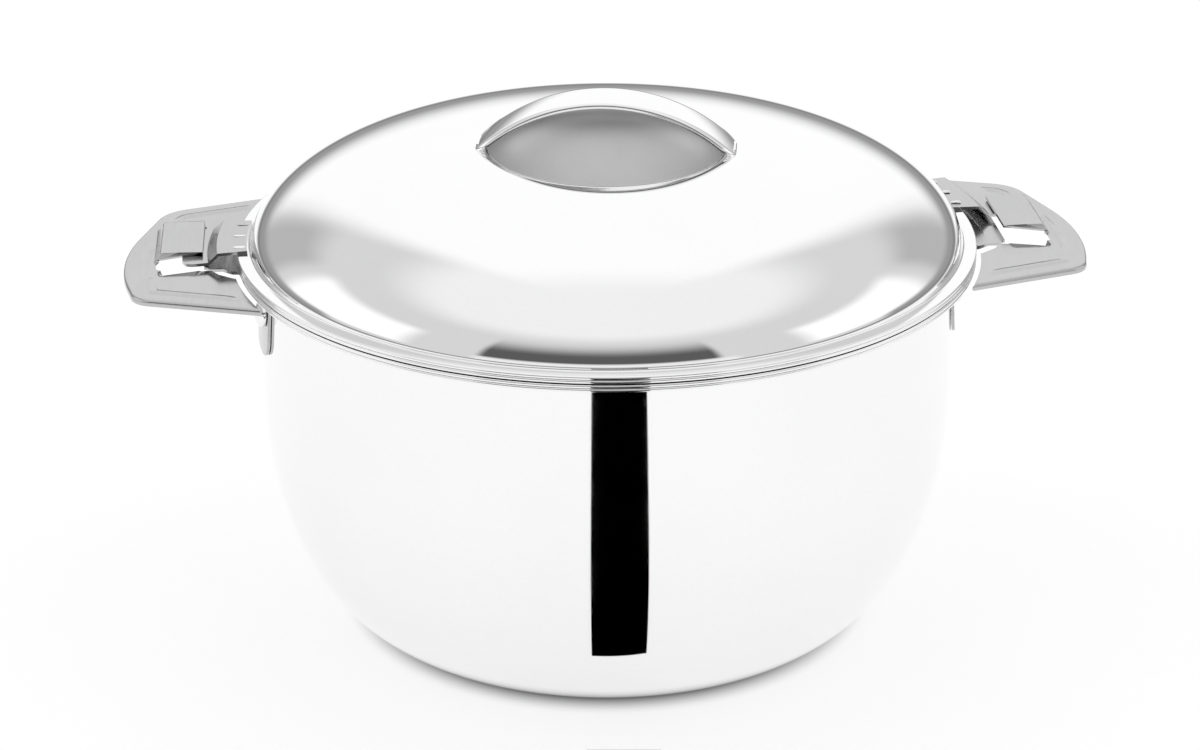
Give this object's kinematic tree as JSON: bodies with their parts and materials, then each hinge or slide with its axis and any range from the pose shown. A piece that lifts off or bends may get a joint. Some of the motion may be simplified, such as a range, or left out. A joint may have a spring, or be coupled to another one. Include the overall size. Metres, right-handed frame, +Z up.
{
  "type": "insulated casserole with a locking lid",
  "caption": "Round double-walled steel serving casserole with a domed lift-off lid that locks by a short turn under raised clips on two flat side handles; arched strap grip over a recess.",
  "frame": {"origin": "centre of the base on the table, on the pot's axis", "axes": "+Z up along the pot's axis, +X along the line through the two handles, towards the right handle, -Y towards the front that the picture shows"},
  "size_m": [0.3248, 0.25, 0.183],
  "materials": {
    "steel": "mirror-polished stainless steel",
    "backing": "plain mill-finish steel",
    "foam": "rigid poured foam",
    "seal": "satin translucent white silicone",
    "plug": "satin moulded plastic"
  },
  "bodies": {
    "pot": {"outer_shell": "steel", "inner_bowl": "steel", "pot_insulation": "foam", "pot_fill_plug": "plug", "handle_left": "steel", "handle_right": "steel", "rivets_left": "steel", "rivets_right": "steel", "backing_left": "backing", "backing_right": "backing"},
    "seal": {"seal_ring": "seal"},
    "lid": {"lid_dome": "steel", "lid_dish": "steel", "lid_insulation": "foam", "lid_fill_plug": "plug", "grip_cup": "steel", "grip_strap": "steel", "ear_left": "steel", "ear_right": "steel", "ear_welds_left": "steel", "ear_welds_right": "steel"}
  },
  "joints": [
    {"name": "lid_lift", "type": "slide", "parent": "pot", "child": "seal", "axis": [0, 0, 1], "range_m": [0, 0.11]},
    {"name": "lid_twist", "type": "hinge", "parent": "seal", "child": "lid", "pos_m": [0, 0, 0.13], "axis": [0, 0, 1], "range_deg": [0, 15.5]}
  ]
}
